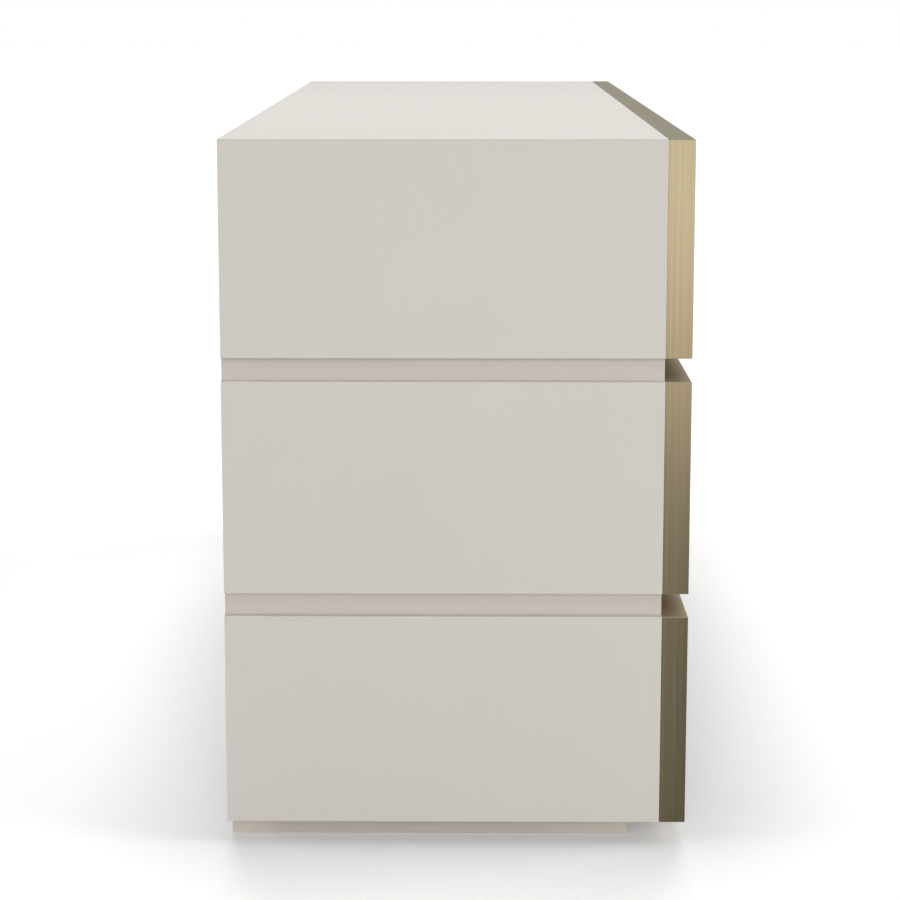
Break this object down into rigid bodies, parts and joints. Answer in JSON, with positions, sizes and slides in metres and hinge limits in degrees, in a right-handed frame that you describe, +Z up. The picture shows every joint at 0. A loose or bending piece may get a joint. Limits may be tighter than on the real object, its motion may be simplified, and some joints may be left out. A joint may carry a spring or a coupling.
{
  "type": "dresser",
  "caption": "Low wide dresser of stacked lacquered blocks: slab drawers with brushed metal fronts, finger gaps in place of handles, recessed channels round the ends, set-back plinth.",
  "frame": {"origin": "on the floor, under the middle of the dresser's width and depth", "axes": "+X along the width to the right as seen from the front, +Y from the drawer fronts to the back, +Z up; the drawers open towards -Y"},
  "size_m": [1.4, 0.5, 0.771],
  "materials": {
    "cream_lacquer": "satin cream lacquer on board",
    "lacquered_channel": "satin cream lacquer on folded sheet",
    "brushed_brass": "vertically brushed, satin",
    "core_board": "veneered board",
    "drawer_wood": "clear satin oil",
    "runner_steel": "zinc plated"
  },
  "bodies": {
    "cabinet": {"top_panel": "cream_lacquer", "left_side_panel": "cream_lacquer", "right_side_panel": "cream_lacquer", "bottom_panel": "cream_lacquer", "back_panel": "cream_lacquer", "lower_finger_channel": "lacquered_channel", "upper_finger_channel": "lacquered_channel", "front_plinth_rail": "cream_lacquer", "back_plinth_rail": "cream_lacquer", "left_plinth_rail": "cream_lacquer", "right_plinth_rail": "cream_lacquer", "centre_plinth_bearer": "cream_lacquer", "lower_left_cabinet_runner": "runner_steel", "lower_right_cabinet_runner": "runner_steel", "middle_left_cabinet_runner": "runner_steel", "middle_right_cabinet_runner": "runner_steel", "upper_left_cabinet_runner": "runner_steel", "upper_right_cabinet_runner": "runner_steel"},
    "lower_left_intermediate": {"lower_left_intermediate_runner": "runner_steel"},
    "lower_right_intermediate": {"lower_right_intermediate_runner": "runner_steel"},
    "lower_drawer": {"lower_front_skin": "brushed_brass", "lower_front_core": "core_board", "lower_drawer_inner_front": "drawer_wood", "lower_drawer_left_side": "drawer_wood", "lower_drawer_right_side": "drawer_wood", "lower_drawer_back": "drawer_wood", "lower_drawer_bottom": "drawer_wood", "lower_drawer_batten": "drawer_wood", "lower_left_drawer_runner": "runner_steel", "lower_right_drawer_runner": "runner_steel"},
    "middle_left_intermediate": {"middle_left_intermediate_runner": "runner_steel"},
    "middle_right_intermediate": {"middle_right_intermediate_runner": "runner_steel"},
    "middle_drawer": {"middle_front_skin": "brushed_brass", "middle_front_core": "core_board", "middle_drawer_inner_front": "drawer_wood", "middle_drawer_left_side": "drawer_wood", "middle_drawer_right_side": "drawer_wood", "middle_drawer_back": "drawer_wood", "middle_drawer_bottom": "drawer_wood", "middle_drawer_batten": "drawer_wood", "middle_left_drawer_runner": "runner_steel", "middle_right_drawer_runner": "runner_steel"},
    "upper_left_intermediate": {"upper_left_intermediate_runner": "runner_steel"},
    "upper_right_intermediate": {"upper_right_intermediate_runner": "runner_steel"},
    "upper_drawer": {"upper_front_skin": "brushed_brass", "upper_front_core": "core_board", "upper_drawer_inner_front": "drawer_wood", "upper_drawer_left_side": "drawer_wood", "upper_drawer_right_side": "drawer_wood", "upper_drawer_back": "drawer_wood", "upper_drawer_bottom": "drawer_wood", "upper_drawer_batten": "drawer_wood", "upper_left_drawer_runner": "runner_steel", "upper_right_drawer_runner": "runner_steel"}
  },
  "joints": [
    {"name": "lower_drawer_slide", "type": "slide", "parent": "cabinet", "child": "lower_drawer", "axis": [0, -1, 0], "range_m": [0, 0.42]},
    {"name": "lower_left_runner_slide", "type": "slide", "parent": "cabinet", "child": "lower_left_intermediate", "axis": [0, -1, 0], "range_m": [0, 0.21]},
    {"name": "lower_right_runner_slide", "type": "slide", "parent": "cabinet", "child": "lower_right_intermediate", "axis": [0, -1, 0], "range_m": [0, 0.21]},
    {"name": "middle_drawer_slide", "type": "slide", "parent": "cabinet", "child": "middle_drawer", "axis": [0, -1, 0], "range_m": [0, 0.42]},
    {"name": "middle_left_runner_slide", "type": "slide", "parent": "cabinet", "child": "middle_left_intermediate", "axis": [0, -1, 0], "range_m": [0, 0.21]},
    {"name": "middle_right_runner_slide", "type": "slide", "parent": "cabinet", "child": "middle_right_intermediate", "axis": [0, -1, 0], "range_m": [0, 0.21]},
    {"name": "upper_drawer_slide", "type": "slide", "parent": "cabinet", "child": "upper_drawer", "axis": [0, -1, 0], "range_m": [0, 0.42]},
    {"name": "upper_left_runner_slide", "type": "slide", "parent": "cabinet", "child": "upper_left_intermediate", "axis": [0, -1, 0], "range_m": [0, 0.21]},
    {"name": "upper_right_runner_slide", "type": "slide", "parent": "cabinet", "child": "upper_right_intermediate", "axis": [0, -1, 0], "range_m": [0, 0.21]}
  ],
  "couplings": [
    {"joint": "lower_left_runner_slide", "follows": "lower_drawer_slide", "ratio": 0.5},
    {"joint": "lower_right_runner_slide", "follows": "lower_drawer_slide", "ratio": 0.5},
    {"joint": "middle_left_runner_slide", "follows": "middle_drawer_slide", "ratio": 0.5},
    {"joint": "middle_right_runner_slide", "follows": "middle_drawer_slide", "ratio": 0.5},
    {"joint": "upper_left_runner_slide", "follows": "upper_drawer_slide", "ratio": 0.5},
    {"joint": "upper_right_runner_slide", "follows": "upper_drawer_slide", "ratio": 0.5}
  ]
}
